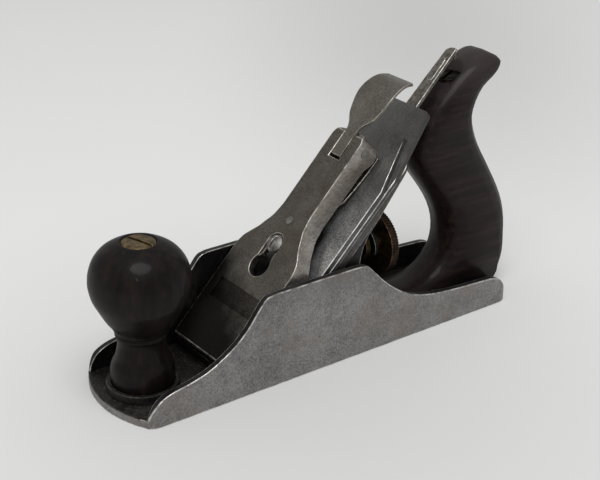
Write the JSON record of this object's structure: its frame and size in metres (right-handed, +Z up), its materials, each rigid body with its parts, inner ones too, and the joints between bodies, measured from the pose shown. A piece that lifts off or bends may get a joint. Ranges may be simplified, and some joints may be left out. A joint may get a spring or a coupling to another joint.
{
  "type": "bench smoothing plane",
  "caption": "Iron bench smoothing plane with dark wooden knob and handle, an adjustable blade on a sloping frog, and a cam-locked lever cap",
  "frame": {"origin": "underside of the sole, under the middle line, 111.5 mm behind the toe's tip", "axes": "+X from the toe to the heel, +Y to the right-hand cheek, +Z up from the sole"},
  "size_m": [0.2274, 0.054, 0.1258],
  "materials": {
    "ground_iron": "worn, ground bare sides, black japanning inside",
    "japanned_iron": "worn black japanning",
    "steel": "dull with age",
    "blade_steel": "dull grey, pitted",
    "lever_cap_iron": "brownish patina over worn plating",
    "brass": "dull, tarnished",
    "dark_wood": "satin, near-black hardwood"
  },
  "bodies": {
    "base": {"plane_body": "ground_iron", "knob": "dark_wood", "knob_bolt": "steel", "tote": "dark_wood", "tote_bolt": "steel"},
    "knob_nut_body": {"knob_nut": "brass"},
    "tote_nut_body": {"tote_nut": "brass"},
    "left_screw": {"frog_screw_left": "steel", "frog_washer_left": "steel"},
    "right_screw": {"frog_screw_right": "steel", "frog_washer_right": "steel"},
    "frog_body": {"frog": "japanned_iron", "frog_adjusting_plate": "steel", "frog_plate_screw": "steel", "yoke_pin": "steel", "depth_stud": "steel", "lateral_rivet": "steel"},
    "adjusting_screw": {"frog_adjusting_screw": "steel"},
    "cap_screw": {"lever_cap_screw": "steel"},
    "wheel": {"depth_wheel": "brass"},
    "yoke_body": {"yoke": "japanned_iron"},
    "lateral": {"lateral_lever": "steel", "lateral_disc": "steel"},
    "blade": {"plane_iron": "blade_steel", "cap_iron": "blade_steel"},
    "clamp_screw": {"cap_iron_screw": "steel"},
    "cap": {"lever_cap": "lever_cap_iron", "lever_cap_spring": "steel", "spring_rivet": "steel", "cam_pin": "steel"},
    "cam": {"cam_lever": "lever_cap_iron"}
  },
  "joints": [
    {"name": "frog_slide", "type": "slide", "parent": "base", "child": "frog_body", "axis": [1, 0, 0], "range_m": [-0.0006, 0.0008]},
    {"name": "adjusting_turn", "type": "hinge", "parent": "frog_body", "child": "adjusting_screw", "pos_m": [0.012, 0, 0.0102], "axis": [1, 0, 0], "range_deg": [-171, 227]},
    {"name": "left_screw_turn", "type": "hinge", "parent": "base", "child": "left_screw", "pos_m": [-0.012, -0.01, 0.015], "axis": [0, 0, 1], "range_deg": [0, 180]},
    {"name": "right_screw_turn", "type": "hinge", "parent": "base", "child": "right_screw", "pos_m": [-0.012, 0.01, 0.015], "axis": [0, 0, 1], "range_deg": [0, 180]},
    {"name": "wheel_turn", "type": "hinge", "parent": "frog_body", "child": "wheel", "pos_m": [0.031, 0, 0.0392], "axis": [1, 0, 0], "range_deg": [-385, 326]},
    {"name": "yoke_swing", "type": "hinge", "parent": "frog_body", "child": "yoke_body", "pos_m": [0.01875, 0, 0.05919], "axis": [0, 1, 0], "range_deg": [-2.9, 2.45]},
    {"name": "blade_slide", "type": "slide", "parent": "frog_body", "child": "blade", "axis": [0.7071, 0, 0.7071], "range_m": [-0.00065, 0.00055]},
    {"name": "clamp_screw_turn", "type": "hinge", "parent": "blade", "child": "clamp_screw", "pos_m": [0.00298, 0, 0.05233], "axis": [-0.7071, 0, 0.7071], "range_deg": [0, 180]},
    {"name": "lateral_swing", "type": "hinge", "parent": "frog_body", "child": "lateral", "pos_m": [0.02879, 0, 0.07884], "axis": [-0.7071, 0, 0.7071], "range_deg": [-5, 5]},
    {"name": "cap_slide", "type": "slide", "parent": "frog_body", "child": "cap", "axis": [0.7071, 0, 0.7071], "range_m": [0, 0.0115]},
    {"name": "cap_screw_turn", "type": "hinge", "parent": "frog_body", "child": "cap_screw", "pos_m": [-0.02056, 0, 0.04858], "axis": [-0.7071, 0, 0.7071], "range_deg": [-90, 90]},
    {"name": "cam_open", "type": "hinge", "parent": "cap", "child": "cam", "pos_m": [0.01663, 0, 0.08903], "axis": [0, -1, 0], "range_deg": [0, 90]},
    {"name": "knob_nut_turn", "type": "hinge", "parent": "base", "child": "knob_nut_body", "pos_m": [-0.0942, 0, 0.072], "axis": [0, 0, 1], "range_deg": [0, 360]},
    {"name": "tote_nut_turn", "type": "hinge", "parent": "base", "child": "tote_nut_body", "pos_m": [0.07397, 0, 0.11107], "axis": [-0.0785, 0, 0.9969], "range_deg": [0, 360]}
  ],
  "couplings": [
    {"joint": "adjusting_turn", "follows": "frog_slide", "rad_per_m": 4948.1},
    {"joint": "wheel_turn", "follows": "blade_slide", "rad_per_m": 10331},
    {"joint": "yoke_swing", "follows": "blade_slide", "rad_per_m": 77.479}
  ]
}
